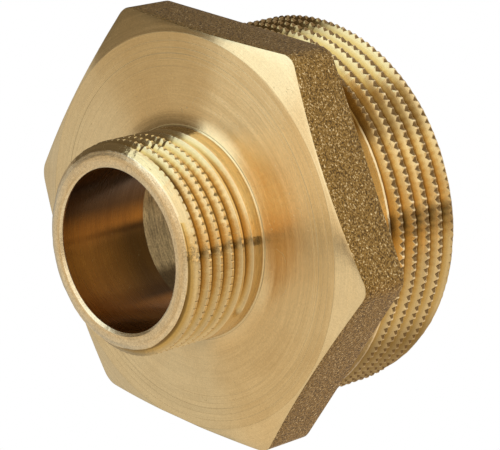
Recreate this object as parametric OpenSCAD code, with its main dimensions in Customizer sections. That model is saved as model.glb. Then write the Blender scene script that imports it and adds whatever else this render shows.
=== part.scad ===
// Hexagon reducing nipple, turned from one piece of brass.
// It stands on its large end: the origin is the middle of the large end face, and +Z runs along the
// bore to the small end. Two flats of the hexagon face -Y and +Y, and two of its corners lie on X.
// The threads are drawn as rings of the true thread section, so their crests are true cylinders.

/* [Large spigot] */
// Length from the large end face to the hexagon
large_len = 15.7; // [12:0.1:30]
// Diameter over the thread crests
large_crest_d = 47.5; // [44:0.1:48]
// Distance from one crest to the next
large_pitch = 2.309; // [1.5:0.001:3]
// Lead chamfer at the end, along and across
large_lead = 1.3; // [0.5:0.1:2]
// Distance from the end face to the middle of the first crest
large_first_crest = 1.6; // [1:0.1:3]
// Width of the plain neck next to the hexagon
large_neck_w = 2.2; // [1:0.1:4]
// Diameter of that neck
large_neck_d = 45.2; // [43:0.1:47]

/* [Small spigot] */
// Length from the hexagon to the small end face
small_len = 11.6; // [8:0.1:24]
// Diameter over the thread crests
small_crest_d = 26.3; // [25:0.1:34]
// Distance from one crest to the next
small_pitch = 1.814; // [1.2:0.001:2.5]
// Lead chamfer at the end, along and across
small_lead = 1.05; // [0.5:0.05:1.6]
// Distance from the end face to the middle of the first crest
small_first_crest = 1.15; // [0.8:0.05:2.5]
// Width of the plain neck next to the hexagon
small_neck_w = 1.1; // [0.6:0.1:3]
// Diameter of that neck
small_neck_d = 26.5; // [24:0.1:33]

/* [Thread section] */
// Angle between the two flanks of a groove
thread_angle = 55; // [50:1:65]
// Width of the crest, as a share of the pitch
crest_share = 0.25; // [0.15:0.01:0.35]
// Width of the groove's bottom, as a share of the pitch
root_share = 0.16; // [0.1:0.01:0.25]

/* [Hexagon] */
// Size across the flats
hex_af = 50; // [49.5:0.1:60]
// Thickness along the bore
hex_t = 7.7; // [5:0.1:16]
// Rounding of the six corners
hex_corner_r = 2.4; // [1:0.1:4]
// Diameter of the turned face on the small side, where the corners start to fall away
hex_face_d = 49.5; // [40:0.1:56]
// Slope of the corners below that face
hex_fall_angle = 16; // [8:1:35]

/* [Bores] */
// Diameter of the bore through the small end
small_bore_d = 20.2; // [14:0.1:21.5]
// Length of that bore, from the small end face
small_bore_len = 13.5; // [12.4:0.1:16]
// Diameter of the wider bore in the large end
large_bore_d = 40; // [30:0.1:41.5]
// Slope of the cone between the two bores, from a flat floor
shoulder_angle = 30; // [10:1:45]
// Edge break at the mouth of the small bore
small_mouth = 0.2; // [0.1:0.05:0.5]
// Edge break at the mouth of the large bore
large_mouth = 0.5; // [0.1:0.1:1]

/* [Hidden] */
$fn = 96;

// Facets to a full turn on the round corners of the hexagon
corner_fn = 48;

// Heights of the hexagon's two faces and of the small end
hex_z0 = large_len;
hex_z1 = large_len + hex_t;
total_len = hex_z1 + small_len;

// Height at which the small bore opens into the cone, and at which the cone meets the large bore
cone_z1 = total_len - small_bore_len;
cone_z0 = cone_z1 - (large_bore_d - small_bore_d) / 2 * tan(shoulder_angle);

// How far a spigot runs into the hexagon, and how far a cutter runs past what it cuts
root_in = 1;
past = 0.5;

// Depth of a groove below the crests, for a pitch
function groove_depth(pitch) = pitch * (1 - crest_share - root_share) / 2 / tan(thread_angle / 2);

// How many crests fit between the first one and the neck
function crest_count(len, first, neck_w, pitch) = floor((len - neck_w - first) / pitch) + 1;

// One ring groove, as a trapezium turned round the axis, open to the outside
module ring_groove(crest_r, pitch) {
    root_half = pitch * root_share / 2;
    depth = groove_depth(pitch);
    lip = past * tan(thread_angle / 2);
    top_half = pitch * (1 - crest_share) / 2;
    rotate_extrude()
        polygon([
            [crest_r - depth, -root_half],
            [crest_r + past, -top_half - lip],
            [crest_r + past, top_half + lip],
            [crest_r - depth, root_half]
        ]);
}

// A threaded spigot with its end face on Z = 0, running up to its neck and into the hexagon
module threaded_spigot(len, crest_d, pitch, lead, first, neck_w, neck_d) {
    crest_r = crest_d / 2;
    neck_r = neck_d / 2;
    neck_step = max(abs(crest_r - neck_r) * tan(thread_angle / 2), 0.01);
    count = crest_count(len, first, neck_w, pitch);
    difference() {
        union() {
            cylinder(r1 = crest_r - lead, r2 = crest_r, h = lead);
            translate([0, 0, lead])
                cylinder(r = crest_r, h = len - neck_w - lead);
            translate([0, 0, len - neck_w])
                cylinder(r1 = crest_r, r2 = neck_r, h = neck_step);
            translate([0, 0, len - neck_w])
                cylinder(r = neck_r, h = neck_w + root_in);
        }
        for (i = [-1:count - 2])
            translate([0, 0, first + (i + 0.5) * pitch])
                ring_groove(crest_r, pitch);
    }
}

// Outline of a hexagon with round corners, for a size across its flats
module rounded_hexagon(af, corner_r) {
    offset(r = corner_r, $fn = corner_fn)
        circle(r = (af / 2 - corner_r) / cos(30), $fn = 6);
}

// The hexagon, with its corners falling away below the turned face on the small side
module hexagon() {
    reach = hex_af / 2 / cos(30) + past;
    face_r = hex_face_d / 2;
    fall = (reach - face_r) * tan(hex_fall_angle);
    intersection() {
        translate([0, 0, hex_z0])
            linear_extrude(hex_t)
                rounded_hexagon(hex_af, hex_corner_r);
        rotate_extrude()
            polygon([
                [0, hex_z0 - past],
                [reach, hex_z0 - past],
                [reach, hex_z1 - fall],
                [face_r, hex_z1],
                [0, hex_z1]
            ]);
    }
}

// The stepped hole: small bore, cone and large bore, with both mouths eased
module stepped_hole() {
    small_r = small_bore_d / 2;
    large_r = large_bore_d / 2;
    rotate_extrude()
        polygon([
            [0, -past],
            [large_r + large_mouth + past, -past],
            [large_r, large_mouth],
            [large_r, cone_z0],
            [small_r, cone_z1],
            [small_r, total_len - small_mouth],
            [small_r + small_mouth + past, total_len + past],
            [0, total_len + past]
        ]);
}

module nipple_body() {
    color("#c8a25c")
        difference() {
            union() {
                threaded_spigot(large_len, large_crest_d, large_pitch, large_lead,
                    large_first_crest, large_neck_w, large_neck_d);
                hexagon();
                translate([0, 0, total_len])
                    mirror([0, 0, 1])
                        threaded_spigot(small_len, small_crest_d, small_pitch, small_lead,
                            small_first_crest, small_neck_w, small_neck_d);
            }
            stepped_hole();
        }
}

nipple_body();
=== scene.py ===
"""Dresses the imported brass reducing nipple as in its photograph.

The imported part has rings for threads. Here the whole fitting is one closed skin: both threads are
true right-handed helices of the 55 degree form with V notches across their crests, the hexagon has
round corners that fall away below its turned face, and the hole is stepped. Sizes are in
millimetres round the axis of the part and turn into metres when the mesh is made.
"""

from __future__ import annotations

import logging
import math
from dataclasses import dataclass, field
from enum import Enum, IntEnum
from typing import Self

import bpy
import numpy as np
from mathutils import Matrix

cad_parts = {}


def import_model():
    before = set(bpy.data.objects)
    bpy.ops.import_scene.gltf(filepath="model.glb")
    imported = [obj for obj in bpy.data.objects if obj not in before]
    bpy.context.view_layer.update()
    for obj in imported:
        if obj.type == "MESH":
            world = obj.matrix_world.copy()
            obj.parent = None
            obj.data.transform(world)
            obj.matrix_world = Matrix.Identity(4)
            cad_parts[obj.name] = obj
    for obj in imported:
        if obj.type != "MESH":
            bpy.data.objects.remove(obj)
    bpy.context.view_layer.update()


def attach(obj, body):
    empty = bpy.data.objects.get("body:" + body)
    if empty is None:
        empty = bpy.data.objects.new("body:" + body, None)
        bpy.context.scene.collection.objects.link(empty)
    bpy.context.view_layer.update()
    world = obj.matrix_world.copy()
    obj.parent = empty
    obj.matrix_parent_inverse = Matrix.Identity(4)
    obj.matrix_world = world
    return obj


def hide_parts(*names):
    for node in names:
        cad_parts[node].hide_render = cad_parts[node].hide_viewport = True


log = logging.getLogger("reducing_nipple")

# Metres in a millimetre
MM = 0.001
# Angle of the part's front in degrees, from which turns are counted
FRONT = -90.0
# Edges whose faces turn by more than this, in degrees, are shown sharp
SHARP_DEG = 33.0
# Noises over the part in mm: fourth coordinate, scale, detail and roughness
CLOUD = (0.0, 0.16, 3.0, 0.55)
SPECKLE = (2.6, 4.5, 2.0, 0.7)
SCRATCH_WAVES = (3.7, 0.35, 1.0, 0.4)
SCRATCH_PATCHES = (8.1, 0.45, 2.0, 0.5)
SPECKS = (1.9, 2.2, 1.0, 0.5)
# Tool lines: scale, change on the way round, and detail
STREAKS = (2.2, 0.7, 4.0)
RING_WEAR = (0.6, 2.0, 2.0)
DENTS = (2.0, 5.0, 3.0)


class Zone(IntEnum):
    """Which finish a face takes, as its material slot."""

    THREAD = 0
    FACE = 1
    FLAT = 2
    BORE = 3
    WIDE_BORE = 4
    END = 5


def smooth_step(x: np.ndarray) -> np.ndarray:
    """Ease from 0 to 1: the cubic 3x^2 - 2x^3 of x held between 0 and 1.

    Args:
        x: any array.

    Returns:
        An array of the same shape.
    """
    x = np.clip(x, 0.0, 1.0)
    return x * x * (3.0 - 2.0 * x)


def uneven(angle_deg: np.ndarray, seed: int) -> np.ndarray:
    """A smooth random curve round the axis: a sum of cosines of seeded phases, within about 1.

    Args:
        angle_deg: angles in degrees.
        seed: seed of the phases.

    Returns:
        An array of the same shape.
    """
    waves = np.array([3, 7, 12, 19, 31, 47, 71])
    phases = np.random.default_rng(seed).uniform(0, 2 * np.pi, len(waves))
    turned = np.radians(angle_deg)[..., None] * waves + phases
    return (np.cos(turned) / np.sqrt(waves)).sum(-1)


@dataclass
class Skin:
    """One closed surface, collected patch by patch."""

    points: list[np.ndarray] = field(default_factory=list)
    triangles: list[np.ndarray] = field(default_factory=list)
    zones: list[np.ndarray] = field(default_factory=list)
    recess_depths: list[np.ndarray] = field(default_factory=list)
    count: int = 0

    def add_points(self, xyz: np.ndarray, recess_depths: np.ndarray | None = None) -> np.ndarray:
        """Store points and number them.

        Args:
            xyz: points in mm, with the coordinates on the last axis.
            recess_depths: for each point how far inside a cut it lies, in mm, and how deep in a groove, as a
                share of its depth, for the dirt and the painted shade that the finishes put there, and for
                the crests' wear and painted sheen.

        Returns:
            Their numbers, shaped as the points are.
        """
        flat = xyz.reshape(-1, 3)
        numbers = self.count + np.arange(len(flat))
        self.points.append(flat)
        self.recess_depths.append(np.tile([-1.0, 0.0], (len(flat), 1)) if recess_depths is None else recess_depths.reshape(-1, 2))
        self.count += len(flat)
        return numbers.reshape(xyz.shape[:-1])

    def add_triangles(self, corners: np.ndarray, zone: Zone) -> None:
        """Store triangles of one zone, leaving out any that has lost a corner.

        Args:
            corners: point numbers, three to a row.
            zone: the finish they take.
        """
        a, b, c = corners.T
        whole = corners[(a != b) & (b != c) & (c != a)]
        self.triangles.append(whole)
        self.zones.append(np.full(len(whole), int(zone)))

    def add_rings(self, rings: np.ndarray, zone: Zone) -> tuple[np.ndarray, np.ndarray]:
        """Join rings with the same number of points into a tube.

        Args:
            rings: points in mm as (ring, point, xyz), each ring closed on itself.
            zone: the finish they take.

        Returns:
            The point numbers of the first and of the last ring.
        """
        n = self.add_points(rings)
        a, b = n[:-1], np.roll(n, -1, axis=1)[:-1]
        d, c = n[1:], np.roll(n, -1, axis=1)[1:]
        low = np.stack([a, b, c], -1).reshape(-1, 3)
        high = np.stack([a, c, d], -1).reshape(-1, 3)
        self.add_triangles(np.concatenate([low, high]), zone)
        return n[0], n[-1]

    def zip_rings(self, one: np.ndarray, two: np.ndarray, zone: Zone) -> None:
        """Close the band between two rings whose counts of points differ.

        Both rings are walked by angle. Every edge of either ring makes one triangle, with its tip
        on the other ring at the point that the walk has reached there.

        Args:
            one: point numbers of a ring, in order of rising angle.
            two: point numbers of the other ring, in the same order.
            zone: the finish of the band.
        """
        cloud = np.concatenate(self.points)
        steps = []
        for ring in (one, two):
            angle = np.arctan2(cloud[ring, 1], cloud[ring, 0])
            first = int(np.argmin(angle))
            ring = np.roll(ring, -first)
            angle = np.append(np.roll(angle, -first), angle.min() + 2 * np.pi)
            steps.append((ring, (angle[1:] + angle[:-1]) / 2))
        (one, mid_one), (two, mid_two) = steps
        is_one = np.concatenate([np.ones(len(one), bool), np.zeros(len(two), bool)])
        is_one = is_one[np.argsort(np.concatenate([mid_one, mid_two]), kind="stable")]
        i = np.cumsum(is_one) - is_one
        j = np.cumsum(~is_one) - ~is_one
        here_one, here_two = one[i % len(one)], two[j % len(two)]
        ahead = np.where(is_one, one[(i + 1) % len(one)], two[(j + 1) % len(two)])
        self.add_triangles(np.stack([here_one, ahead, here_two], -1), zone)

    def to_object(self, name: str, finishes: list[bpy.types.Material]) -> bpy.types.Object:
        """Make the mesh object, in metres, with its faces outward and its hard edges marked.

        Args:
            name: the object's name.
            finishes: one material for each zone, in order.

        Returns:
            The object, linked to the scene.
        """
        points = np.concatenate(self.points)
        triangles = np.concatenate(self.triangles)
        used, triangles = np.unique(triangles, return_inverse=True)
        points, triangles = points[used] * MM, triangles.reshape(-1, 3)
        corners = points[triangles]
        six_volumes = np.einsum("ij,ij->i", corners[:, 0], np.cross(corners[:, 1], corners[:, 2]))
        if six_volumes.sum() < 0:
            triangles = triangles[:, ::-1]
        mesh = bpy.data.meshes.new(name)
        mesh.from_pydata(points, [], triangles.tolist())
        mesh.polygons.foreach_set("material_index", np.concatenate(self.zones).astype(np.int32))
        mesh.polygons.foreach_set("use_smooth", np.ones(len(triangles), bool))
        for finish in finishes:
            mesh.materials.append(finish)
        for label, values in zip(("cut", "deep"), np.concatenate(self.recess_depths)[used].T):
            kept = mesh.attributes.new(label, "FLOAT", "POINT")
            kept.data.foreach_set("value", np.ascontiguousarray(values))
        mesh.set_sharp_from_angle(angle=math.radians(SHARP_DEG))
        mesh.validate()
        made = bpy.data.objects.new(name, mesh)
        bpy.context.scene.collection.objects.link(made)
        log.info("%s: %d points, %d triangles, %.1f mm3", name, len(points), len(triangles),
                 abs(six_volumes.sum()) / 6 / MM**3)
        return made


@dataclass(frozen=True)
class ThreadForm:
    """The 55 degree thread section with round roots and crests turned down to a narrow land."""

    pitch: float
    crest_r: float
    crest_z: float
    turned_down: float
    land_dip: float = 0.008
    flank_deg: float = 27.5
    round_share: float = 0.1373
    depth_share: float = 0.6403

    @property
    def tangent(self) -> float:
        """Share of the pitch from a crest's middle to where its arc meets the flank."""
        return self.round_share * math.cos(math.radians(self.flank_deg))

    @property
    def full_depth(self) -> float:
        """Depth of the groove's bottom below the crest land, in mm."""
        return self.depth_share * self.pitch - self.turned_down

    def turn(self, angle_deg: np.ndarray) -> np.ndarray:
        """Turns from the front of the part to an angle."""
        return (angle_deg - FRONT) / 360.0

    def phase(self, angle_deg: np.ndarray, z: np.ndarray) -> np.ndarray:
        """Crests passed along Z at an angle: whole numbers on the crests, halves on the roots."""
        return (z - self.crest_z) / self.pitch - self.turn(angle_deg)

    def depth(self, phase: np.ndarray) -> np.ndarray:
        """Depth below the crest land, in mm.

        By distance u from the nearest crest, in pitches: an arc of the crest radius, then the
        straight flank, then the same arc upside down at the root, less what was turned down.

        Args:
            phase: as phase() gives.

        Returns:
            The depth, which is never negative.
        """
        u = np.abs((phase + 0.5) % 1.0 - 0.5)
        arc, flank = self.round_share, math.radians(self.flank_deg)
        crest = arc - np.sqrt(np.maximum(arc**2 - u**2, 0.0))
        straight = arc * (1 - math.sin(flank)) + (u - self.tangent) / math.tan(flank)
        root = self.depth_share - arc + np.sqrt(np.maximum(arc**2 - (0.5 - u) ** 2, 0.0))
        shape = np.where(u < self.tangent, crest, np.where(u > 0.5 - self.tangent, root, straight))
        dip = self.land_dip * np.maximum(1.0 - u / self.land_share(), 0.0)
        return np.maximum(shape * self.pitch - self.turned_down, 0.0) + dip

    def share_at(self, depth: float) -> float:
        """Where the flank reaches a depth.

        The straight flank starts where the crest's arc ends, and gains one over the tangent of the
        flank angle in depth for each step outward.

        Args:
            depth: depth below the crest land, in mm.

        Returns:
            Distance from the crest's middle, as a share of the pitch.
        """
        flank = math.radians(self.flank_deg)
        below = (depth + self.turned_down) / self.pitch - self.round_share * (1 - math.sin(flank))
        return self.tangent + below * math.tan(flank)

    def land_share(self) -> float:
        """Half the width of the crest land, as a share of the pitch."""
        arc = self.round_share
        return math.sqrt(arc**2 - (arc - self.turned_down / self.pitch) ** 2)


@dataclass(frozen=True)
class Notches:
    """V notches cut along Z across the crests, evenly spaced round the part.

    They are deepest on one side, fade out past two heights, and differ a little in depth.
    """

    count: int
    first_deg: float
    depth: float
    vee_deg: float
    deeper: float
    deepest_deg: float
    spread: float
    crest_r: float
    from_z: float
    to_z: float
    seed: int
    faint_ring: int = -99
    faint_share: float = 1.0
    bell_deg: float = 40.0
    widest: float = 0.44
    fade_over: float = 0.5
    told_rings: int = 16

    @property
    def spacing(self) -> float:
        """Distance between notches along the crest, in mm."""
        return 2 * math.pi * self.crest_r / self.count

    @property
    def slope(self) -> float:
        """Half the width of a notch over its depth."""
        return math.tan(math.radians(self.vee_deg / 2))

    def mean_depth(self, angle_deg: np.ndarray) -> np.ndarray:
        """Depth of the cut round the part: a bell over one side, where the cutter bit deeper."""
        off = (angle_deg - self.deepest_deg + 180.0) % 360.0 - 180.0
        return self.depth + self.deeper * np.exp(-((off / self.bell_deg) ** 2))

    def angles(self) -> np.ndarray:
        """Angles of the mesh columns.

        Each notch has a column in its middle, one on either edge of its mouth, and one half-way
        to the next notch. An edge stays within a share of the step, so that columns don't cross.

        Returns:
            Angles in degrees, rising through one turn from about -180.
        """
        step = 360.0 / self.count
        start = self.first_deg - math.floor((self.first_deg + 180.0) / step) * step
        middle = start + np.arange(self.count) * step
        edge = np.minimum(self.mean_depth(middle) * self.slope / self.spacing, self.widest) * step
        return np.stack([middle - edge, middle, middle + edge, middle + step / 2], -1).ravel()

    def depth_at(self, angle_deg: np.ndarray, z: np.ndarray, ring: np.ndarray) -> np.ndarray:
        """Depth of the cut below the crest land.

        A V falls straight from the edges of its mouth to its bottom. Each notch on each crest
        takes its own small change of depth, from a seeded table, and is fainter on the last crests.

        Args:
            angle_deg: angle of each point.
            z: height of each point, in mm.
            ring: number of the crest each point belongs to.

        Returns:
            The depth in mm, negative between notches.
        """
        place = (angle_deg - self.first_deg) * self.count / 360.0
        notch = np.round(place).astype(int)
        table = np.random.default_rng(self.seed).normal(1.0, self.spread, (self.told_rings, self.count))
        own = table[ring.astype(int) % self.told_rings, notch % self.count]
        own = own * np.where(ring <= self.faint_ring, self.faint_share, 1.0)
        vee = self.mean_depth(angle_deg) * own - np.abs(place - notch) * self.spacing / self.slope
        fade = smooth_step((z - self.from_z) / self.fade_over + 0.5)
        fade = fade * smooth_step((self.to_z - z) / self.fade_over + 0.5)
        return np.where(fade > 0, vee - (1 - fade) * self.depth, -1.0)


@dataclass(frozen=True)
class TornCrest:
    """Where the first crest was torn off by the lead chamfer."""

    z: float
    middle_deg: float
    half_deg: float
    depth: float
    half_width: float = 0.12
    gash_half_width: float = 0.5
    seed: int = 6

    def cut(self, angle_deg: np.ndarray, off: np.ndarray) -> tuple[np.ndarray, np.ndarray]:
        """What the tear takes off the crest, and the dark gash beside it, which the finish paints as shade
        with dirt.

        The tear is full in the middle of its span and eases out over the ends of it, times an
        uneven curve. The gash has four fifths of its depth, less a little.

        Args:
            angle_deg: angle of each point.
            off: distance of each point from the middle of the torn crest, in mm.

        Returns:
            What is lost, and how far inside the gash a point lies, negative outside, both in mm.
        """
        along = smooth_step(1.5 - np.abs(angle_deg - self.middle_deg) / self.half_deg)
        along = along * np.clip(0.7 + 0.5 * uneven(angle_deg * 2.0, self.seed), 0.0, 1.2)
        lost = self.depth * along * (off < self.half_width)
        inside = (off < self.gash_half_width) & (along > 0.02)
        return lost, np.where(inside, lost * 0.8 - 0.05, -1.0)


@dataclass
class Spigot:
    """A threaded spigot, from its plain neck at the hexagon to its end face.

    Its last groove is told by the half-way phase, and eases out past an angle. Rows of the mesh
    that come close to either flat end merge with it. Crests have nicks, where a seeded chance is
    above a limit, and the lead chamfer wavers a little round the part.
    """

    name: str
    form: ThreadForm
    notches: Notches
    neck_z: float
    end_z: float
    neck_r: float
    end_r: float
    lead_slope: float
    last_groove: float
    run_out_deg: float
    nick: float
    torn: TornCrest | None = None
    run_out_span_deg: float = 9.0
    ease: float = 0.25
    lead_waver: float = 0.06
    # Groove depth share given to the plain neck and lead cone, for the painted groove shade.
    plain_depth_share: float = 0.12
    nick_from: float = 0.55
    crest_depth: float = 0.05
    merge_within: float = 0.03
    last_row: float = 0.44

    @property
    def outward(self) -> float:
        """+1 where the spigot's end is above its neck, or -1."""
        return math.copysign(1.0, self.end_z - self.neck_z)

    def groove_share(self, angle_deg: np.ndarray, phase: np.ndarray) -> np.ndarray:
        """How much of the full groove is cut: 1 on the thread and 0 past its run-out.

        Grooves are numbered by the half-way phases. The last one eases out past run_out_deg.

        Args:
            angle_deg: angle of each point.
            phase: thread phase of each point.

        Returns:
            A share from 0 to 1.
        """
        groove = (np.floor(phase) + 0.5 - self.last_groove) * self.outward
        at_end = smooth_step((angle_deg - self.run_out_deg) * self.outward / self.run_out_span_deg)
        return np.where(groove > 0.25, 1.0, np.where(groove > -0.25, at_end, 0.0))

    def shape(self, angle_deg: np.ndarray, z: np.ndarray) -> tuple[np.ndarray, np.ndarray]:
        """Radius of the spigot's skin, and how far inside its cuts and how deep in its grooves each point
        lies.

        The radius is the least of three: the thread section, the V of a notch, and the lead cone.
        Past the run-out the thread section eases over to the neck. Crests have small nicks from
        a seeded table, and a torn crest loses more.

        Args:
            angle_deg: angle of each point.
            z: height of each point, in mm.

        Returns:
            Radii in mm, and for each point how deep it lies in a cut and in a groove, as Skin.add_points
            takes it.
        """
        form = self.form
        phase = form.phase(angle_deg, z)
        share = self.groove_share(angle_deg, phase)
        depth = form.depth(phase) * share
        chance = np.random.default_rng(self.notches.seed + 1).random(z.shape)
        nicked = np.maximum(chance - self.nick_from, 0.0) / (1 - self.nick_from)
        lost = self.nick * nicked * (depth < self.crest_depth)
        gash = np.full_like(lost, -1.0)
        if self.torn:
            torn, gash = self.torn.cut(angle_deg, np.abs(z - self.torn.z - form.turn(angle_deg) * form.pitch))
            lost = lost + torn
        beyond = (self.last_groove - phase) * self.outward - 0.5 - form.land_share()
        to_neck = (self.neck_r - form.crest_r) * smooth_step(beyond / self.ease)
        thread = form.crest_r - depth + to_neck * (1 - share)
        lead = self.end_r + uneven(angle_deg, self.notches.seed) * self.lead_waver
        lead = lead + np.abs(self.end_z - z) * self.lead_slope
        whole = np.minimum(thread, lead)
        deep = np.where((lead < thread) | (beyond > 0), self.plain_depth_share, depth / form.full_depth)
        notch = form.crest_r - self.notches.depth_at(angle_deg, z, np.round(phase))
        cut = np.maximum(whole - notch, gash)
        return np.minimum(whole - lost, notch), np.stack([cut, deep], -1)

    def row_phases(self) -> np.ndarray:
        """Phases of the mesh rows within one pitch, on the section's own corners.

        Returns:
            Phases from -0.5 up to less than 0.5.
        """
        form, cut = self.form, self.notches.depth + 0.5 * self.notches.deeper
        half = np.array([form.land_share(), form.share_at(cut), 0.5 - form.tangent, self.last_row])
        return np.concatenate([[-0.5], -half[::-1], [0.0], half])

    def add_to(self, skin: Skin) -> tuple[np.ndarray, np.ndarray]:
        """Add the wall to the skin, as a grid whose rows follow the helix.

        The height of a row rises by one pitch in a turn, so the last column meets the first one
        a pitch higher up. Rows are held between the two flat ends, where their points merge. Each
        cell is split along the diagonal that stands further out, which keeps ridges sharp.

        Args:
            skin: the skin to add to.

        Returns:
            The point numbers of the lowest and of the highest ring.
        """
        form = self.form
        low, high = sorted((self.neck_z, self.end_z))
        angles = self.notches.angles()
        turn = form.turn(angles)
        phases = self.row_phases()
        first = math.floor((low - form.crest_z) / form.pitch - turn.max()) - 1
        last = math.ceil((high - form.crest_z) / form.pitch - turn.min()) + 2
        rows = (np.arange(first, last)[:, None] + phases[None, :]).ravel()
        z = form.crest_z + (rows[:, None] + turn[None, :]) * form.pitch
        is_low, is_high = z < low + self.merge_within, z > high - self.merge_within
        z = np.where(is_low, low, np.where(is_high, high, z))
        spread = np.broadcast_to(angles, z.shape)
        r, recess_depths = self.shape(spread, z)
        wide = np.radians(spread)
        n = skin.add_points(np.stack([r * np.cos(wide), r * np.sin(wide), z], -1), recess_depths)
        ends = [skin.add_points(self._ring(angles, height)) for height in (low, high)]
        n = np.where(is_low, ends[0], np.where(is_high, ends[1], n))
        closing = np.append(n[len(phases):, 0], np.full(len(phases), ends[1][0]))
        n = np.concatenate([n, closing[:, None]], 1)
        last_r = np.append(r[len(phases):, 0], np.full(len(phases), r[-1, 0]))
        r = np.concatenate([r, last_r[:, None]], 1)
        a, b, c, d = n[:-1, :-1], n[:-1, 1:], n[1:, 1:], n[1:, :-1]
        along = r[:-1, :-1] + r[1:, 1:] >= r[:-1, 1:] + r[1:, :-1]
        low_tip = np.where(along, c, d)
        high_tip = np.where(along, a, b)
        lower = np.stack([a, b, low_tip], -1).reshape(-1, 3)
        upper = np.stack([high_tip, c, d], -1).reshape(-1, 3)
        skin.add_triangles(np.concatenate([lower, upper]), Zone.THREAD)
        log.info("%s: %d columns, %d rows", self.name, len(angles), len(rows))
        return ends[0], ends[1]

    def _ring(self, angles: np.ndarray, z: float) -> np.ndarray:
        """Points of the skin at one height.

        Args:
            angles: angles of the mesh columns, in degrees.
            z: the height in mm.

        Returns:
            Points as an array of xyz in mm.
        """
        r = self.shape(angles, np.full_like(angles, z))[0]
        wide = np.radians(angles)
        return np.stack([r * np.cos(wide), r * np.sin(wide), np.full_like(r, z)], -1)


@dataclass
class Hexagon:
    """The spanner hexagon, cast a little off the axis, with a turned face on the small side.

    Shares and radii say where the rings of its mesh lie, between the roots of the spigots and the
    outline, whose edges are eased.
    """

    low_z: float = 15.7
    high_z: float = 23.4
    apothem: float = 25.0
    corner_r: float = 2.4
    off_axis: tuple[float, float] = (0.24, -0.33)
    face_r: float = 24.77
    fall: float = 0.281
    edge: float = 0.12
    eased: float = 0.036
    ragged: float = 0.09
    ragged_seeds: tuple[int, int] = (3, 5)
    small_root_r: float = 13.55
    large_root_r: float = 22.9
    clear: float = 0.02
    lip: float = 0.06
    corner_columns: int = 9
    flat_columns: int = 61
    back_shares: tuple[float, ...] = (0.0, 0.3, 0.65, 1.0)
    wall_shares: tuple[float, ...] = (0.0, 0.25, 0.5, 0.75, 1.0)
    rim_shares: tuple[float, ...] = (0.0, 0.35, 0.7, 0.96, 1.0)
    face_radii: tuple[float, ...] = (23.0, 20.5, 18.0, 15.5)

    def columns(self) -> np.ndarray:
        """Angles of the mesh columns, close together on the round corners.

        Returns:
            Angles in radians, rising through one turn.
        """
        reach = math.degrees(self._corner_reach())
        corner = np.linspace(-reach, reach, self.corner_columns)
        flat = np.linspace(reach, 60 - reach, self.flat_columns)[1:-1]
        sector = np.concatenate([corner, flat])
        return np.radians((np.arange(6)[:, None] * 60 + sector[None, :]).ravel())

    def _corner_reach(self) -> float:
        """Half the angle that a round corner takes, seen from the middle of the hexagon."""
        centre = (self.apothem - self.corner_r) / math.cos(math.pi / 6)
        return math.atan(self.corner_r * 0.5 / (centre + self.corner_r * math.cos(math.pi / 6)))

    def outline(self, angle: np.ndarray, inset: float = 0.0) -> np.ndarray:
        """Points of the outline.

        On a flat the reach is the apothem over the cosine of the angle from the flat's normal. On
        a corner the ray meets a circle: the reach is c cos a + sqrt(R^2 - c^2 sin^2 a).

        Args:
            angle: angles from the middle of the hexagon, in radians.
            inset: distance inside the outline, in mm.

        Returns:
            Points as (x, y) in mm.
        """
        apothem, corner = self.apothem - inset, self.corner_r - inset
        centre = (apothem - corner) / math.cos(math.pi / 6)
        from_flat = (angle % (math.pi / 3)) - math.pi / 6
        from_corner = (angle + math.pi / 6) % (math.pi / 3) - math.pi / 6
        on_flat = apothem / np.cos(from_flat)
        inside = np.maximum(corner**2 - (centre * np.sin(from_corner)) ** 2, 0.0)
        on_corner = centre * np.cos(from_corner) + np.sqrt(inside)
        reach = np.where(np.abs(from_corner) < self._corner_reach(), on_corner, on_flat)
        x = self.off_axis[0] + reach * np.cos(angle)
        y = self.off_axis[1] + reach * np.sin(angle)
        return np.stack([x, y], -1)

    def top_z(self, flat_xy: np.ndarray) -> np.ndarray:
        """Height of the small side: level out to the turned face's edge, then a falling cone."""
        beyond = np.hypot(flat_xy[..., 0], flat_xy[..., 1]) - self.face_r
        return self.high_z - np.maximum(beyond, 0) * self.fall

    def add_to(self, skin: Skin, small_ring: np.ndarray, large_ring: np.ndarray) -> None:
        """Add the hexagon and join it to the two spigots.

        The back and the face are rings drawn from the spigots' roots out to the outline, and the
        wall is the outline itself. The rim of the face is ragged: it stands inside the outline by
        the size of an uneven curve, and half of that lower.

        Args:
            skin: the skin to add to.
            small_ring: point numbers of the small spigot's neck.
            large_ring: point numbers of the large spigot's neck.
        """
        angle = self.columns()
        unit = np.stack([np.cos(angle), np.sin(angle)], -1)
        edge_xy = self.outline(angle, self.edge)
        root = unit * self.large_root_r
        back = [self._level(root + (edge_xy - root) * share, self.low_z) for share in self.back_shares]

        degrees = np.degrees(angle)
        one, two = self.ragged_seeds
        rough = np.abs(self.ragged * (uneven(degrees, one) + uneven(degrees * 2.7, two)) / 2)
        rim = edge_xy - edge_xy / np.hypot(edge_xy[:, :1], edge_xy[:, 1:]) * rough[:, None]
        top = self.top_z(rim) - rough * 0.5
        base = np.full_like(top, self.low_z)
        drop = top - base - 2 * self.edge
        wall = [(self.eased, base + self.eased)]
        wall += [(0.0, base + self.edge + drop * share) for share in self.wall_shares]
        wall += [(self.eased, top - self.eased)]
        walls = [self._level(self.outline(angle, inset), z) for inset, z in wall]

        reach = np.hypot(rim[:, 0], rim[:, 1])
        circle = unit * np.minimum(self.face_r, reach - self.clear)[:, None]
        inner = unit * np.minimum(self.face_r - self.lip, reach - self.clear - self.lip)[:, None]
        face = [rim + (circle - rim) * share for share in self.rim_shares]
        face += [inner] + [unit * r for r in (*self.face_radii, self.small_root_r)]
        faces = [self._level(xy, self.top_z(xy)) for xy in face]

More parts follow.
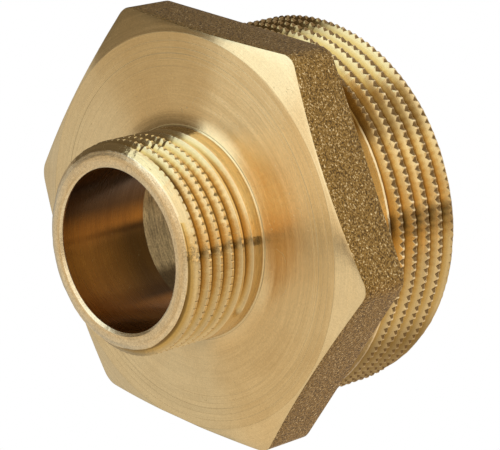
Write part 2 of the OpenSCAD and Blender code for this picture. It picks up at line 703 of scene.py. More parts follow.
        ends = [skin.add_rings(np.stack(rings), zone)
                for rings, zone in ((back, Zone.FACE), (walls, Zone.FLAT), (faces, Zone.FACE))]
        skin.zip_rings(large_ring, ends[0][0], Zone.FACE)
        skin.zip_rings(ends[0][1], ends[1][0], Zone.FLAT)
        skin.zip_rings(ends[1][1], ends[2][0], Zone.FACE)
        skin.zip_rings(ends[2][1], small_ring, Zone.FACE)
        log.info("hexagon: %d columns, %d rows", len(angle), len(back) + len(walls) + len(faces))

    @staticmethod
    def _level(flat_xy: np.ndarray, z: float | np.ndarray) -> np.ndarray:
        """Points of xyz from points of xy and a height or heights."""
        return np.column_stack([flat_xy, np.broadcast_to(z, len(flat_xy))])


@dataclass
class SteppedHole:
    """The end faces and the hole through the part: small bore, cone and large bore."""

    small_r: float = 10.1
    large_r: float = 20.0
    cone_high_z: float = 21.54
    cone_low_z: float = 15.8
    mouth: float = 0.45
    mouth_widest_deg: float = 118.0
    rolled: float = 0.3
    rolled_deg: float = -70.0
    end_z: float = 35.0
    small_end_r: float = 11.98
    large_end_r: float = 22.3
    small_rows: tuple[float, ...] = (31.0, 27.0, 24.0)
    large_rows: tuple[float, ...] = (11.0, 5.0, 0.5)
    columns: int = 160

    def add_to(self, skin: Skin, small_ring: np.ndarray, large_ring: np.ndarray) -> None:
        """Add both end faces and the hole, and join them to the spigots' ends.

        Profiles are (radius, height) pairs. The chamfer at the mouth is widest on one side, by a
        cosine, and the end face's outer edge is rolled inward on another, by a squared cosine.

        Args:
            skin: the skin to add to.
            small_ring: point numbers of the small spigot's end.
            large_ring: point numbers of the large spigot's end.
        """
        end = self.end_z
        wide_mouth = 0.6 + 0.4 * np.cos(self._angles() - math.radians(self.mouth_widest_deg))
        facing = np.maximum(np.cos(self._angles() - math.radians(self.rolled_deg)), 0.0)
        rolled = self.rolled * facing**2
        mouth_r = self.small_r + self.mouth * wide_mouth
        small_face = [(self.small_end_r, end - 0.19), (11.75 - rolled / 2, end - 0.10), (11.5 - rolled, end),
                      (mouth_r + 0.04, end), (mouth_r, end - 0.015),
                      (self.small_r + 0.02, end - 0.5 * self.mouth * wide_mouth)]
        hole = [(self.small_r, z) for z in (end - 0.34, *self.small_rows, self.cone_high_z)]
        wide = [(self.small_r + 0.05, self.cone_high_z - 0.04), (self.large_r, self.cone_low_z)]
        wide += [(self.large_r, z) for z in self.large_rows] + [(self.large_r + 0.15, 0.15)]
        large_face = [(self.large_r + 0.5, 0.0), (21.4, 0.0), (self.large_end_r, 0.0)]
        top_first, top_last = skin.add_rings(self._turned(small_face), Zone.END)
        hole_first, hole_last = skin.add_rings(self._turned(hole), Zone.BORE)
        wide_first, wide_last = skin.add_rings(self._turned(wide), Zone.WIDE_BORE)
        base_first, base_last = skin.add_rings(self._turned(large_face), Zone.END)
        skin.zip_rings(small_ring, top_first, Zone.END)
        skin.zip_rings(top_last, hole_first, Zone.END)
        skin.zip_rings(hole_last, wide_first, Zone.WIDE_BORE)
        skin.zip_rings(wide_last, base_first, Zone.WIDE_BORE)
        skin.zip_rings(base_last, large_ring, Zone.END)
        log.info("stepped hole: %d columns", self.columns)

    def _angles(self) -> np.ndarray:
        """Angles of the mesh columns, in radians."""
        return np.arange(self.columns) * 2 * np.pi / self.columns

    def _turned(self, profile: list[tuple[float | np.ndarray, float | np.ndarray]]) -> np.ndarray:
        """Carry a profile round the axis.

        Args:
            profile: (radius, height) pairs in mm; either may be an array that changes on the way.

        Returns:
            Points as (ring, point, xyz) in mm.
        """
        wide = self._angles()
        r = np.stack([np.broadcast_to(pair[0], wide.shape) for pair in profile])
        z = np.stack([np.broadcast_to(pair[1], wide.shape) for pair in profile])
        return np.stack([r * np.cos(wide), r * np.sin(wide), z], -1)


class NodeBench:
    """Lays shader nodes and links them, so that a finish reads as a recipe."""

    def __init__(self, tree: bpy.types.NodeTree) -> None:
        """Take an empty or fresh node tree."""
        self.tree = tree
        tree.nodes.clear()

    @classmethod
    def for_material(cls, name: str) -> tuple[bpy.types.Material, Self]:
        """Make a material and a bench for its nodes.

        Args:
            name: the material's name.

        Returns:
            The material and its empty bench.
        """
        made = bpy.data.materials.new(name)
        made.use_nodes = True
        return made, cls(made.node_tree)

    def node(self, kind: str, **settings: object) -> bpy.types.Node:
        """Add a node.

        Args:
            kind: its type.
            **settings: its properties by name.

        Returns:
            The node.
        """
        made = self.tree.nodes.new(kind)
        for name, value in settings.items():
            setattr(made, name, value)
        return made

    def feed(self, socket: bpy.types.NodeSocket, value: object) -> None:
        """Link a socket or set its constant.

        Args:
            socket: the input to feed.
            value: a socket to link, or a constant.
        """
        if isinstance(value, bpy.types.NodeSocket):
            self.tree.links.new(value, socket)
        else:
            socket.default_value = value

    def filled(self, made: bpy.types.Node, values: tuple[object, ...]) -> bpy.types.NodeSocket:
        """Feed a node's first inputs in order.

        Args:
            made: the node.
            values: numbers, vectors or sockets.

        Returns:
            The node's first output.
        """
        for socket, value in zip(made.inputs, values):
            self.feed(socket, value)
        return made.outputs[0]

    def math(self, operation: str, *values: object) -> bpy.types.NodeSocket:
        """A Math node over numbers or sockets."""
        return self.filled(self.node("ShaderNodeMath", operation=operation), values)

    def times(self, one: object, two: object) -> bpy.types.NodeSocket:
        """The product of two numbers or sockets."""
        return self.math("MULTIPLY", one, two)

    def distance(self, one: object, two: object) -> bpy.types.NodeSocket:
        """How far apart two numbers or sockets are."""
        return self.math("ABSOLUTE", self.math("SUBTRACT", one, two))

    def vector(self, operation: str, *values: object) -> bpy.types.NodeSocket:
        """A Vector Math node over vectors or sockets."""
        return self.filled(self.node("ShaderNodeVectorMath", operation=operation), values)

    def scaled(self, vector: object, scale: object) -> bpy.types.NodeSocket:
        """A vector or colour times a number.

        Args:
            vector: a vector or colour, or its socket.
            scale: a number or its socket.

        Returns:
            A vector socket.
        """
        made = self.node("ShaderNodeVectorMath", operation="SCALE")
        self.feed(made.inputs["Scale"], scale)
        return self.filled(made, (vector,))

    def attribute(self, name: str) -> bpy.types.NodeSocket:
        """A number that the mesh keeps on its points."""
        return self.node("ShaderNodeAttribute", attribute_name=name).outputs["Fac"]

    def principled(self, anisotropic: float) -> bpy.types.Node:
        """A metal shader, linked to the material's output.

        Args:
            anisotropic: how much further its highlights reach across the tool lines than along.

        Returns:
            The shader node.
        """
        shader = self.node("ShaderNodeBsdfPrincipled")
        shader.inputs["Metallic"].default_value = 1.0
        shader.inputs["Anisotropic"].default_value = anisotropic
        self.feed(self.node("ShaderNodeOutputMaterial").inputs[0], shader.outputs[0])
        return shader

    def split(self, value: object) -> tuple[bpy.types.NodeSocket, ...]:
        """The X, Y and Z of a vector.

        Args:
            value: a vector or its socket.

        Returns:
            Three number sockets.
        """
        made = self.node("ShaderNodeSeparateXYZ")
        self.feed(made.inputs[0], value)
        return tuple(made.outputs)

    def join(self, x: object, y: object, z: object) -> bpy.types.NodeSocket:
        """A vector from three numbers."""
        return self.filled(self.node("ShaderNodeCombineXYZ"), (x, y, z))

    def ramp(self, value: object, stops: list[tuple[float, tuple[float, ...]]]) -> bpy.types.NodeSocket:
        """A Color Ramp with straight changes between its stops.

        Args:
            value: the number to look up.
            stops: (place, colour) pairs, in order of place.

        Returns:
            A colour socket.
        """
        made = self.node("ShaderNodeValToRGB")
        band = made.color_ramp
        band.elements.remove(band.elements[-1])
        band.elements[0].position = stops[0][0]
        band.elements[0].color = (*stops[0][1], 1)
        for place, colour in stops[1:]:
            band.elements.new(place).color = (*colour, 1)
        return self.filled(made, (value,))

    def span(self, value: object, low: float, high: float, to_low: float = 0.0,
             to_high: float = 1.0) -> bpy.types.NodeSocket:
        """An eased, clamped change from one span of numbers to another.

        Args:
            value: the number to change.
            low: where the change starts.
            high: where it ends, which may be below low.
            to_low: the result at low and before it.
            to_high: the result at high and past it.

        Returns:
            A number socket.
        """
        made = self.node("ShaderNodeMapRange", interpolation_type="SMOOTHSTEP")
        return self.filled(made, (value, low, high, to_low, to_high))

    def mix(self, share: object, one: object, two: object) -> bpy.types.NodeSocket:
        """A colour between two.

        Args:
            share: share of the second colour, from 0 to 1.
            one: a colour socket, or red, green and blue.
            two: the same.

        Returns:
            A colour socket.
        """
        made = self.node("ShaderNodeMix", data_type="RGBA", clamp_factor=True)
        for place, value in ((0, share), (6, one), (7, two)):
            self.feed(made.inputs[place], (*value, 1) if isinstance(value, tuple) else value)
        return made.outputs[2]

    def noise(self, vector: object, w: object, scale: float, detail: float,
              rough: float) -> bpy.types.NodeSocket:
        """Four-dimensional noise.

        Args:
            vector: the place to look up.
            w: its fourth coordinate.
            scale: how fine the noise is.
            detail: octaves of it.
            rough: how strong the finer octaves are.

        Returns:
            A number socket from 0 to 1.
        """
        made = self.node("ShaderNodeTexNoise", noise_dimensions="4D")
        given = {"Vector": vector, "W": w, "Scale": scale, "Detail": detail, "Roughness": rough}
        for name, value in given.items():
            self.feed(made.inputs[name], value)
        return made.outputs[0]

    def bump(self, height: object, height_mm: float, normal: object = None) -> bpy.types.NodeSocket:
        """A normal tilted by a height.

        Args:
            height: the height, from 0 to 1.
            height_mm: what a height of 1 stands for, in mm.
            normal: the normal to tilt, or none for the surface's own.

        Returns:
            A normal socket.
        """
        made = self.node("ShaderNodeBump")
        made.inputs["Strength"].default_value = 1.0
        made.inputs["Distance"].default_value = height_mm * MM
        self.feed(made.inputs["Height"], height)
        if normal is not None:
            self.feed(made.inputs["Normal"], normal)
        return made.outputs[0]


class RoundBench(NodeBench):
    """The bench of a finish, with each point's place round the axis in mm and as a unit direction."""

    def __init__(self, tree: bpy.types.NodeTree) -> None:
        """Work the place out from Object coordinates.

        Args:
            tree: the material's nodes.
        """
        super().__init__(tree)
        self.point = self.scaled(self.node("ShaderNodeTexCoord").outputs["Object"], 1 / MM)
        x, y, self.height = self.split(self.point)
        self.radius = self.math("SQRT", self.math("ADD", self.times(x, x), self.times(y, y)))
        self.across, self.along = self.split(self.vector("NORMALIZE", self.join(x, y, 0.0)))[:2]

    def lines(self, scale: float, stretch: float, detail: float, level: float = 1.0) -> bpy.types.NodeSocket:
        """Noise over radius and height that hardly changes round the axis, as a tool leaves it.

        Args:
            scale: lines to a millimetre, roughly.
            stretch: change on the way round: a low number makes long lines.
            detail: octaves of the noise.
            level: weight of the height. With 0 the lines follow the radius alone, and so the helix
                on a thread's flanks.

        Returns:
            A number socket from 0 to 1.
        """
        across, along = self.times(self.across, stretch), self.times(self.along, stretch)
        place = self.join(self.radius, self.times(self.height, level), across)
        return self.noise(place, along, scale, detail, 0.6)


@dataclass(frozen=True)
class ShadePatch:
    """A patch of painted shade on one side of the part, over a span of height."""

    middle_deg: float
    half_deg: float
    low_z: float
    high_z: float
    strength: float
    in_grooves: float = 0.0
    soft_z: float = 1.0
    soft_deg: float = 8.0

    def share(self, bench: RoundBench, deep: bpy.types.NodeSocket) -> bpy.types.NodeSocket:
        """How strong the patch is at a point: it fades over its rim, and may favour the grooves.

        Args:
            bench: the bench of the finish.
            deep: how deep in a groove the point lies, from 0 to 1.

        Returns:
            A share from 0 to the patch's strength.
        """
        angle = bench.math("DEGREES", bench.math("ARCTAN2", bench.along, bench.across))
        turned = bench.math("WRAP", bench.math("SUBTRACT", angle, self.middle_deg), 180.0, -180.0)
        found = bench.span(bench.math("ABSOLUTE", turned), self.half_deg + self.soft_deg,
                           self.half_deg - self.soft_deg, 0.0, self.strength)
        for edge, soft in ((self.low_z, self.soft_z), (self.high_z, -self.soft_z)):
            found = bench.times(found, bench.span(bench.height, edge - soft, edge + soft))
        return bench.times(found, bench.span(deep, 0.0, 0.5, 1.0 - self.in_grooves, 1.0))


@dataclass(frozen=True)
class TurnedBrass:
    """Machined brass, with the fine lines of the tool running round the axis.

    Lines are noise over radius and height, stretched along the turning direction: its other two
    coordinates are the unit direction round the axis, times a small number. Strengths are shares
    from 0 to 1, and radii, heights and depths are in mm. A ring has a radius, half its width and a
    strength. Pairs of heights or radii say where a change starts and where it is complete.
    """

    name: str
    colour: tuple[float, float, float] = (0.90, 0.66, 0.32)
    # The darker brass of the stains, and also of the painted shade in the grooves and at the spigot's foot.
    stain_and_shade_colour: tuple[float, float, float] = (0.70, 0.47, 0.20)
    # Colour of the dirt and of the painted shade: notches, groove roots and shade patches take it.
    dirt_and_shade_colour: tuple[float, float, float] = (0.15, 0.09, 0.035)
    # A lighter colour of dirt and painted shade for the small spigot's notches, between the upper heights.
    upper_dirt_and_shade_colour: tuple[float, float, float] = (0.38, 0.27, 0.10)
    upper_starts: tuple[float, float] = (18.0, 20.0)
    upper_ends: tuple[float, float] = (34.3, 34.1)
    stain: float = 0.25
    # Painted shade with dirt inside the notches and the torn crest's gash.
    notch_dirt_and_shade: float = 0.75
    # Painted shade deep in the thread's grooves, mixed towards the darker stain colour.
    groove_shade: float = 0.0
    roughness: float = 0.24
    anisotropic: float = 0.8
    line_height: float = 0.003
    line_scale: float = 7.0
    line_tint: float = 0.12
    line_stretch: float = 0.5
    line_level: float = 1.0
    wobble: float = 0.03
    dents: float = 0.0
    dents_above: float = -100.0
    # Paler crest lands: real wear, with a painted sheen on them.
    worn: float = 0.0
    wear_and_sheen_colour: tuple[float, float, float] = (0.97, 0.78, 0.50)
    # Strength of a painted shade line at the groove roots.
    root_shade_line: float = 0.8
    scratches: float = 0.3
    lean_deg: float = 0.0
    lean_radii: tuple[float, float] = (24.9, 24.7)
    sink_deg: float = 0.0
    grain: float = 0.05
    # Painted shade and dark reflection on the face next to the spigot's foot, and where it starts and ends.
    spigot_foot_shade: float = 0.0
    spigot_foot_shade_radii: tuple[float, float] = (16.5, 13.6)
    # Patches of painted shade, in the dirt and shade colour.
    shade_patches: tuple[ShadePatch, ...] = ()
    rings: tuple[tuple[float, float, float], ...] = ()

    def material(self) -> bpy.types.Material:
        """Build the material: lines and streaks tint the brass, roughen it and lift its skin.

        Returns:
            The material.
        """
        made, bench = RoundBench.for_material(self.name)
        shader = bench.principled(self.anisotropic)
        shader.inputs["Anisotropic Rotation"].default_value = 0.25
        bench.feed(shader.inputs["Tangent"], bench.join(bench.times(bench.along, -1.0), bench.across, 0.0))
        lines = bench.lines(self.line_scale, self.line_stretch, 3.0, self.line_level)
        streaks = bench.lines(*STREAKS)
        # Share of painted shade with dirt in the notches and the gash, and of dirt in scratches, specks and
        # scored rings.
        dirt_and_shade_share = self._dirt_and_shade(bench)
        # Colour of that dirt and painted shade, lighter on the small spigot.
        upper = bench.times(bench.span(bench.height, *self.upper_starts),
                            bench.span(bench.height, *self.upper_ends))
        dirt_and_shade_mix = bench.mix(upper, self.dirt_and_shade_colour, self.upper_dirt_and_shade_colour)
        clean = self._clean_colour(bench, lines, streaks)
        bench.feed(shader.inputs["Base Color"], bench.mix(dirt_and_shade_share, clean, dirt_and_shade_mix))
        bench.feed(shader.inputs["Metallic"], bench.math("SUBTRACT", 1.0, bench.times(dirt_and_shade_share, 0.5)))
        rough = bench.span(streaks, 0.3, 0.7, self.roughness * 0.85, self.roughness * 1.15)
        bench.feed(shader.inputs["Roughness"], bench.math("ADD", rough, bench.times(dirt_and_shade_share, 0.35)))
        bench.feed(shader.inputs["Normal"], self._normal(bench, lines))
        return made

    def _clean_colour(self, bench: RoundBench, lines: bpy.types.NodeSocket,
                      streaks: bpy.types.NodeSocket) -> bpy.types.NodeSocket:
        """The brass with its stain, tool lines, painted shade deep in the grooves and at the spigot's foot,
        worn crests with a painted sheen, a painted shade line at the roots and patches of painted shade,
        before the dirt and painted shade of the notches.

        Args:
            bench: the bench of the finish.
            lines: the fine tool lines, from 0 to 1.
            streaks: the broad ones, from 0 to 1.

        Returns:
            A colour socket.
        """
        cloud = bench.span(bench.noise(bench.point, *CLOUD), 0.35, 0.7, 0.0, self.stain)
        shade = bench.math("ADD", bench.span(lines, 0.25, 0.75, 1 - self.line_tint, 1.0),
                           bench.span(streaks, 0.3, 0.7, -self.line_tint / 2, self.line_tint / 2))
        colour = bench.scaled(bench.mix(cloud, self.colour, self.stain_and_shade_colour), shade)
        deep = bench.attribute("deep")
        # Painted shade deep in the grooves.
        colour = bench.mix(bench.span(deep, 0.15, 0.65, 0.0, self.groove_shade), colour, self.stain_and_shade_colour)
        # Painted shade on the face near the spigot's foot.
        if self.spigot_foot_shade:
            at_root = bench.span(bench.radius, *self.spigot_foot_shade_radii, 0.0, self.spigot_foot_shade)
            colour = bench.mix(at_root, colour, self.stain_and_shade_colour)
        if self.worn:
            # Paler crest lands: real wear with a painted sheen.
            colour = bench.mix(bench.span(deep, 0.05, 0.02, 0.0, self.worn), colour, self.wear_and_sheen_colour)
            # A painted shade line at the groove roots, in the dirt and shade colour.
            colour = bench.mix(bench.span(deep, 0.66, 0.88, 0.0, self.root_shade_line), colour, self.dirt_and_shade_colour)
        # Patches of painted shade, where the part lies in shade or mirrors something dark.
        for patch in self.shade_patches:
            colour = bench.mix(patch.share(bench, deep), colour, self.dirt_and_shade_colour)
        speckle = bench.noise(bench.point, *SPECKLE)
        return bench.scaled(colour, bench.span(speckle, 0.3, 0.7, 1.0 - self.grain, 1.0 + self.grain))

    def _normal(self, bench: RoundBench, lines: bpy.types.NodeSocket) -> bpy.types.NodeSocket:
        """The normal: the surface's own, leaning or sunk, then wobble, dents and lines.

        Where a tool fed outward, one side of every line is the longer one, so the light sees a
        face that leans outward a little. The lean adds a share of the outward direction to the
        normal, and the sink of a bore's lines takes a share of +Z off it.

        Args:
            bench: the bench of the finish.
            lines: the fine tool lines, from 0 to 1.

        Returns:
            A normal socket.
        """
        normal = bench.node("ShaderNodeNewGeometry").outputs["Normal"]
        if self.lean_deg:
            share = bench.span(bench.radius, *self.lean_radii, 0.0, math.tan(math.radians(self.lean_deg)))
            outward = bench.join(bench.times(bench.across, share), bench.times(bench.along, share), 0.0)
            normal = bench.vector("NORMALIZE", bench.vector("ADD", normal, outward))
        if self.sink_deg:
            down = (0.0, 0.0, -math.tan(math.radians(self.sink_deg)))
            normal = bench.vector("NORMALIZE", bench.vector("ADD", normal, down))
        spokes = bench.noise(bench.scaled(bench.point, 0.05), bench.times(bench.across, 3.0), 5.0, 3.0, 0.6)
        normal = bench.bump(spokes, self.wobble, normal)
        if self.dents:
            above = bench.span(bench.height, self.dents_above - 0.4, self.dents_above)
            normal = bench.bump(bench.times(bench.lines(*DENTS), above), self.dents, normal)
        return bench.bump(lines, self.line_height, normal)

    def _dirt_and_shade(self, bench: RoundBench) -> bpy.types.NodeSocket:
        """Share of dirt and painted shade: painted shade with dirt in the notches and in the torn crest's
        gash, and dirt in scored rings, and in sparse scratches and specks.

        A scored ring is a line of a half width and a strength at a set radius, worn in places. A
        scratch is a thin level line of a smooth noise, kept in patches.

        Args:
            bench: the bench of the finish.

        Returns:
            A number socket from 0 to 1.
        """
        # Painted shade with dirt inside the notches and the gash.
        found = bench.span(bench.attribute("cut"), 0.0, 0.14, 0.0, self.notch_dirt_and_shade)
        thin = bench.span(bench.distance(bench.noise(bench.point, *SCRATCH_WAVES), 0.5), 0.004, 0.0015,
                          0.0, self.scratches)
        patch = bench.span(bench.noise(bench.point, *SCRATCH_PATCHES), 0.58, 0.66)
        specks = bench.span(bench.noise(bench.point, *SPECKS), 0.75, 0.80, 0.0, self.scratches)
        marks = [bench.times(thin, patch), specks]
        worn = bench.span(bench.lines(*RING_WEAR), 0.4, 0.6, 0.35, 1.0)
        for radius, half, strength in self.rings:
            ring = bench.span(bench.distance(bench.radius, radius), half, half * 0.3, 0.0, strength)
            marks.append(bench.times(ring, worn))
        for mark in marks:
            found = bench.math("MAXIMUM", found, mark)
        return found


@dataclass(frozen=True)
class BlastedBrass:
    """The cast and grit-blasted flats: dull, grainy, with small painted glints."""

    name: str
    colour: tuple[float, float, float] = (0.37, 0.215, 0.056)
    pit: tuple[float, float, float] = (0.12, 0.07, 0.025)
    # Colour of the painted glints on the grain's peaks.
    glint: tuple[float, float, float] = (1.0, 0.80, 0.46)
    roughness: float = 0.36
    grain_scale: float = 4.0
    grain_height: float = 0.17
    pit_span: tuple[float, float] = (0.53, 0.38)
    glint_span: tuple[float, float] = (0.57, 0.66)

    def material(self) -> bpy.types.Material:
        """Build the material: noise grain that darkens in its pits, with painted glints on its peaks.

        Returns:
            The material.
        """
        made, bench = RoundBench.for_material(self.name)
        shader = bench.principled(0.0)
        grain = bench.noise(bench.point, 0.0, self.grain_scale, 3.0, 0.65)
        colour = bench.mix(bench.span(grain, *self.pit_span), self.colour, self.pit)
        # Painted glints on the grain's peaks.
        colour = bench.mix(bench.span(grain, *self.glint_span), colour, self.glint)
        rough = bench.span(grain, 0.5, 0.7, self.roughness, self.roughness * 0.6)
        bench.feed(shader.inputs["Base Color"], colour)
        bench.feed(shader.inputs["Roughness"], rough)
        bench.feed(shader.inputs["Normal"], bench.bump(grain, self.grain_height))
        return made


class Tone(Enum):
    """Colours of the studio's light."""

    COOL = (0.84, 1.05, 1.25)
    WHITE = (0.96, 1.0, 1.04)
    CREAM = (1.05, 0.98, 0.88)
    WARM = (1.12, 0.96, 0.76)
    HONEY = (1.17, 0.95, 0.67)
    AMBER = (1.22, 0.94, 0.58)


COOL, WHITE, CREAM, WARM, HONEY, AMBER = Tone


@dataclass(frozen=True)
class Panel:
    """One lit wall of the studio, told by the surfaces that mirror it towards the photograph.

    The panel spans those surfaces' normals from one angle round the axis down to another, with
    soft edges. It has one light for each tilt of the normal from the axis: the turned face, the
    fallen corners, the thread flanks, the lead chamfer, the crests' edges, the spigots' necks,
    upright walls, the bores' sunk lines, and surfaces that look down.
    """

    name: str
    start: float
    end: float
    soft: tuple[float, float]
    lights: tuple[tuple[float, Tone], ...]

    TILTS = (12.5, 15.7, 27.0, 38.0, 55.0, 81.0, 91.0, 99.0, 118.0)

    def light(self, bench: NodeBench, angle: bpy.types.NodeSocket,
              tilt: bpy.types.NodeSocket) -> bpy.types.NodeSocket:
        """The panel's light on a bench: a soft-edged window over the angle times its lights.

        Args:
            bench: the bench of the world.
            angle: the normal's angle round the axis, in degrees.
            tilt: the normal's tilt from the axis, as a share of 180 degrees.

        Returns:
            A colour socket.
        """
        middle, half = (self.start + self.end) / 2, (self.start - self.end) / 2
        off = bench.math("WRAP", bench.math("SUBTRACT", angle, middle), 180.0, -180.0)
        head, tail = self.soft[0] / 2, self.soft[1] / 2
        window = bench.times(bench.span(off, half + head, half - head),
                             bench.span(off, -half - tail, -half + tail))
        stops = [(t / 180, tuple(strength * part for part in tone.value))
                 for t, (strength, tone) in zip(self.TILTS, self.lights)]
        return bench.scaled(bench.ramp(tilt, stops), window)


@dataclass(frozen=True)
class Studio:
    """The light all round the part and the white floor."""

    seen_from: tuple[float, float, float] = (-0.052, -0.7316, 0.6798)
    panels: tuple[Panel, ...] = (
        Panel("back wall", 170, 17, (16, 3), (
            (0.60, CREAM), (0.56, CREAM), (0.45, WHITE), (0.30, WARM), (0.20, WARM),
            (0.15, WARM), (0.15, WARM), (0.12, WARM), (0.12, WARM))),
        Panel("dark left wall", 17, -33.5, (3, 4), (
            (0.49, HONEY), (0.16, AMBER), (0.09, HONEY), (0.10, HONEY), (0.05, HONEY),
            (0.07, HONEY), (0.04, HONEY), (0.30, WARM), (0.05, WARM))),
        Panel("key softbox", -33.5, -64, (4, 10), (
            (0.50, HONEY), (1.42, WHITE), (1.40, COOL), (1.40, COOL), (1.20, WHITE),
            (0.60, CREAM), (0.65, CREAM), (0.45, WARM), (0.20, WARM))),
        Panel("front softbox", -64, -96, (10, 14), (
            (0.67, HONEY), (1.00, CREAM), (1.25, WHITE), (1.20, WHITE), (1.20, WHITE),
            (0.60, WARM), (1.40, WHITE), (0.45, WARM), (0.90, WHITE))),
        Panel("front edge", -96, -106.5, (14, 2.5), (
            (0.47, AMBER), (0.70, WARM), (0.80, WARM), (0.70, WARM), (1.00, WARM),
            (0.54, WARM), (1.35, WHITE), (0.45, WARM), (0.90, WHITE))),
        Panel("glow below", -104, -112, (4, 4), (
            (0.0, WARM), (0.0, WARM), (0.0, WARM), (0.35, CREAM), (0.0, CREAM),
            (0.0, WARM), (0.0, WARM), (0.90, WARM), (0.50, WARM))),
        Panel("right wall", -110.5, -148, (2.5, 12), (
            (0.49, HONEY), (0.86, CREAM), (0.60, CREAM), (0.70, CREAM), (0.60, CREAM),
            (0.46, WARM), (0.78, WARM), (1.00, WARM), (0.15, WARM))),
        Panel("low right wall", -148, -190, (12, 16), (
            (0.48, HONEY), (0.72, WARM), (0.58, CREAM), (0.66, CREAM), (0.58, CREAM),
            (0.46, WARM), (0.78, WARM), (0.25, WARM), (0.15, WARM))),
    )
    gap_fill: float = 0.03
    floor_reach: float = 1.5
    floor_drop: float = 0.0001

    def add_world(self) -> None:
        """Paint the light over directions.

        A polished point shows the light that comes along its mirror direction. Seen from the
        photograph's side, that direction belongs to one normal: the middle between the two. The
        panels are told by the angle of that normal round the axis and by its tilt.
        """
        world = bpy.data.worlds.new("studio_light")
        world.use_nodes = True
        bench = NodeBench(world.node_tree)
        way = bench.node("ShaderNodeTexCoord").outputs["Generated"]
        middle = bench.vector("NORMALIZE", bench.vector("ADD", way, self.seen_from))
        x, y, z = bench.split(middle)
        angle = bench.math("DEGREES", bench.math("ARCTAN2", y, x))
        tilt = bench.math("DIVIDE", bench.math("ARCCOSINE", z), math.pi)
        light: object = (self.gap_fill,) * 3
        for panel in self.panels:
            light = bench.vector("ADD", light, panel.light(bench, angle, tilt))
        path = bench.node("ShaderNodeLightPath").outputs["Is Camera Ray"]
        painted = bench.node("ShaderNodeBackground")
        bench.feed(painted.inputs[0], light)
        white = bench.node("ShaderNodeBackground")
        white.inputs[0].default_value = (1, 1, 1, 1)
        pick = bench.node("ShaderNodeMixShader")
        out = bench.node("ShaderNodeOutputWorld")
        bench.feed(pick.inputs[0], path)
        bench.feed(pick.inputs[1], painted.outputs[0])
        bench.feed(pick.inputs[2], white.outputs[0])
        bench.feed(out.inputs[0], pick.outputs[0])
        bpy.context.scene.world = world

    def add_floor(self) -> bpy.types.Object:
        """A plain white floor that throws nothing on the part.

        Returns:
            The floor.
        """
        mesh = bpy.data.meshes.new("floor")
        corners = np.array([(-1, -1), (1, -1), (1, 1), (-1, 1)]) * self.floor_reach
        mesh.from_pydata(np.column_stack([corners, np.full(4, -self.floor_drop)]), [], [(0, 1, 2, 3)])
        floor = bpy.data.objects.new("floor", mesh)
        bpy.context.scene.collection.objects.link(floor)
        finish, bench = NodeBench.for_material("floor_white")
        glow = bench.node("ShaderNodeEmission")
        bench.feed(bench.node("ShaderNodeOutputMaterial").inputs[0], glow.outputs[0])
        mesh.materials.append(finish)
        floor.visible_glossy = False
        floor.visible_diffuse = False
        floor.visible_shadow = False
        return floor


@dataclass(frozen=True)
class PhotoCamera:
    """The photograph's camera, in millimetres from the middle of the large end face."""

    place: tuple[float, float, float] = (-17.641, -227.331, 224.107)
    right: tuple[float, float, float] = (-0.305013, -0.636557, -0.708352)
    up: tuple[float, float, float] = (0.950928, -0.244169, -0.190044)
    lens: float = 178.7
    sensor: float = 36.0
    shift: tuple[float, float] = (-0.0044, 0.0053)
    clip_m: tuple[float, float] = (0.01, 10.0)

    def add(self) -> bpy.types.Object:
        """Make the camera and give it to the scene.

        Returns:
            The camera.
        """
        data = bpy.data.cameras.new("photo_camera")
        data.lens = self.lens
        data.sensor_width = self.sensor
        data.shift_x, data.shift_y = self.shift
        data.clip_start, data.clip_end = self.clip_m
        camera = bpy.data.objects.new("photo_camera", data)
        right, up = np.array(self.right), np.array(self.up)
        turned = np.column_stack([right, up, np.cross(right, up)])
        place = Matrix.Translation(np.array(self.place) * MM)
        camera.matrix_world = place @ Matrix(turned.tolist()).to_4x4()
        bpy.context.scene.collection.objects.link(camera)
        bpy.context.scene.camera = camera
        return camera


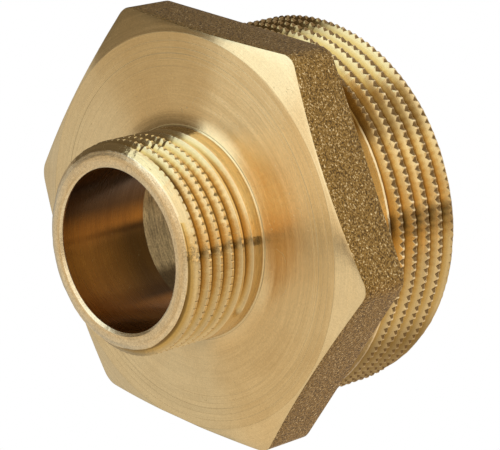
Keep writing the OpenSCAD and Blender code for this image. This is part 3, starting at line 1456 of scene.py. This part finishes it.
@dataclass
class ReducingNipple:
    """The whole fitting."""

    small: Spigot
    large: Spigot
    hexagon: Hexagon
    hole: SteppedHole

    @staticmethod
    def as_photographed() -> "ReducingNipple":
        """The fitting with the sizes that were measured on the photograph.

        Returns:
            The fitting, ready to build.
        """
        small = Spigot(
            name="small_spigot",
            form=ThreadForm(pitch=1.814, crest_r=13.15, crest_z=28.6, turned_down=0.07),
            notches=Notches(count=81, first_deg=-43.6, depth=0.11, vee_deg=104, deeper=0.12, deepest_deg=-55,
                            spread=0.18, crest_r=13.15, from_z=27.6, to_z=60.0, seed=4),
            neck_z=23.55, end_z=34.78, neck_r=13.2, end_r=12.1, lead_slope=1.3,
            last_groove=-1.5, run_out_deg=-154.0, nick=0.03,
            torn=TornCrest(z=34.38, middle_deg=-60, half_deg=17, depth=0.2))
        large = Spigot(
            name="large_spigot",
            form=ThreadForm(pitch=2.309, crest_r=23.9, crest_z=8.34, turned_down=0.05),
            notches=Notches(count=141, first_deg=-42.5, depth=0.34, vee_deg=112, deeper=0.06, deepest_deg=-50,
                            spread=0.08, crest_r=23.9, from_z=-20.0, to_z=11.9, seed=9,
                            faint_ring=-3, faint_share=0.75),
            neck_z=15.62, end_z=0.08, neck_r=22.6, end_r=22.5, lead_slope=1.0,
            last_groove=1.5, run_out_deg=150.0, nick=0.03)
        return ReducingNipple(small, large, Hexagon(), SteppedHole())

    @staticmethod
    def finishes() -> dict[Zone, TurnedBrass | BlastedBrass]:
        """The finish of each zone.

        Returns:
            Finishes by zone, in the zones' order.
        """
        return {
            Zone.THREAD: TurnedBrass(
                "threaded_brass", stain_and_shade_colour=(0.66, 0.40, 0.10), stain=0.15, dirt_and_shade_colour=(0.20, 0.105, 0.022),
                roughness=0.20, anisotropic=0.85, line_height=0.006, line_scale=3.0, line_tint=0.2,
                line_level=0.5, wobble=0.004, notch_dirt_and_shade=0.9, groove_shade=0.85, worn=0.5, dents=0.06,
                dents_above=33.8,
                # Patches of painted shade on the large thread and on its neck under the hexagon, and one near
                # the small spigot's end.
                shade_patches=(ShadePatch(-73, 9, -5, 15, 0.7, 1.0, soft_deg=5),
                         ShadePatch(-172, 26, -5, 15, 0.7, 0.2),
                         ShadePatch(-15, 20, -5, 15, 0.8, 0.2),
                         ShadePatch(-90, 80, 13.6, 16, 0.8, soft_z=0.3),
                         ShadePatch(-109, 4, -5, 15, 0.45, soft_deg=2),
                         ShadePatch(-69, 11, 10.9, 16, 1.0, soft_z=0.4, soft_deg=4),
                         ShadePatch(-60, 16, 32.9, 33.9, 0.9, 1.0, soft_z=0.2))),
            Zone.FACE: TurnedBrass(
                "turned_brass", colour=(0.92, 0.72, 0.40), roughness=0.21, lean_deg=8.0,
                line_height=0.006, line_tint=0.09, wobble=0.008, spigot_foot_shade=0.25, grain=0.06,
                rings=((13.42, 0.08, 0.6), (20.6, 0.06, 0.25), (21.5, 0.06, 0.3), (22.15, 0.10, 0.45),
                       (22.85, 0.07, 0.4), (23.7, 0.07, 0.35), (24.72, 0.06, 0.45))),
            Zone.FLAT: BlastedBrass("blasted_brass"),
            # Darker bore brass: partly its rough machined tone, partly painted shade inside the hole. Its
            # patches are painted shade.
            Zone.BORE: TurnedBrass(
                "bored_brass", colour=(0.35, 0.142, 0.02), stain_and_shade_colour=(0.21, 0.08, 0.013), stain=0.5,
                dirt_and_shade_colour=(0.045, 0.02, 0.002), roughness=0.28, line_scale=5.0, line_tint=0.15,
                wobble=0.01, sink_deg=7.0,
                shade_patches=(ShadePatch(98, 30, 10, 28, 0.9, soft_z=5.0, soft_deg=4),
                         ShadePatch(40, 17, 10, 40, 0.8))),
            # The wide bore's patch is painted shade on one side of it.
            Zone.WIDE_BORE: TurnedBrass(
                "rough_bored_brass", colour=(0.42, 0.30, 0.14), stain_and_shade_colour=(0.26, 0.17, 0.08),
                dirt_and_shade_colour=(0.06, 0.035, 0.012), stain=0.5, roughness=0.32, line_height=0.01, line_scale=6.0,
                line_tint=0.5, line_stretch=3.0, sink_deg=7.0, grain=0.25,
                shade_patches=(ShadePatch(112, 16, -5, 20, 0.95, soft_deg=3),)),
            Zone.END: TurnedBrass(
                "faced_brass", colour=(0.92, 0.74, 0.46), roughness=0.26, anisotropic=0.3,
                line_height=0.006, scratches=0.6, dents=0.03, grain=0.15),
        }

    def build(self) -> bpy.types.Object:
        """Build the closed skin and dress it.

        Returns:
            The finished object.
        """
        skin = Skin()
        small_low, small_high = self.small.add_to(skin)
        large_low, large_high = self.large.add_to(skin)
        self.hexagon.add_to(skin, small_low, large_high)
        self.hole.add_to(skin, small_high, large_low)
        return skin.to_object("nipple", [finish.material() for finish in self.finishes().values()])


def main() -> None:
    """Load the frame, build the part, and set the studio and the camera round it."""
    logging.basicConfig(level=logging.INFO, format="%(message)s")
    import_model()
    bpy.context.scene.view_settings.view_transform = "Standard"
    nipple = ReducingNipple.as_photographed().build()
    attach(nipple, "root")
    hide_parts("nipple_body")
    studio = Studio()
    studio.add_world()
    studio.add_floor()
    PhotoCamera().add()


if __name__ == "__main__":
    main()
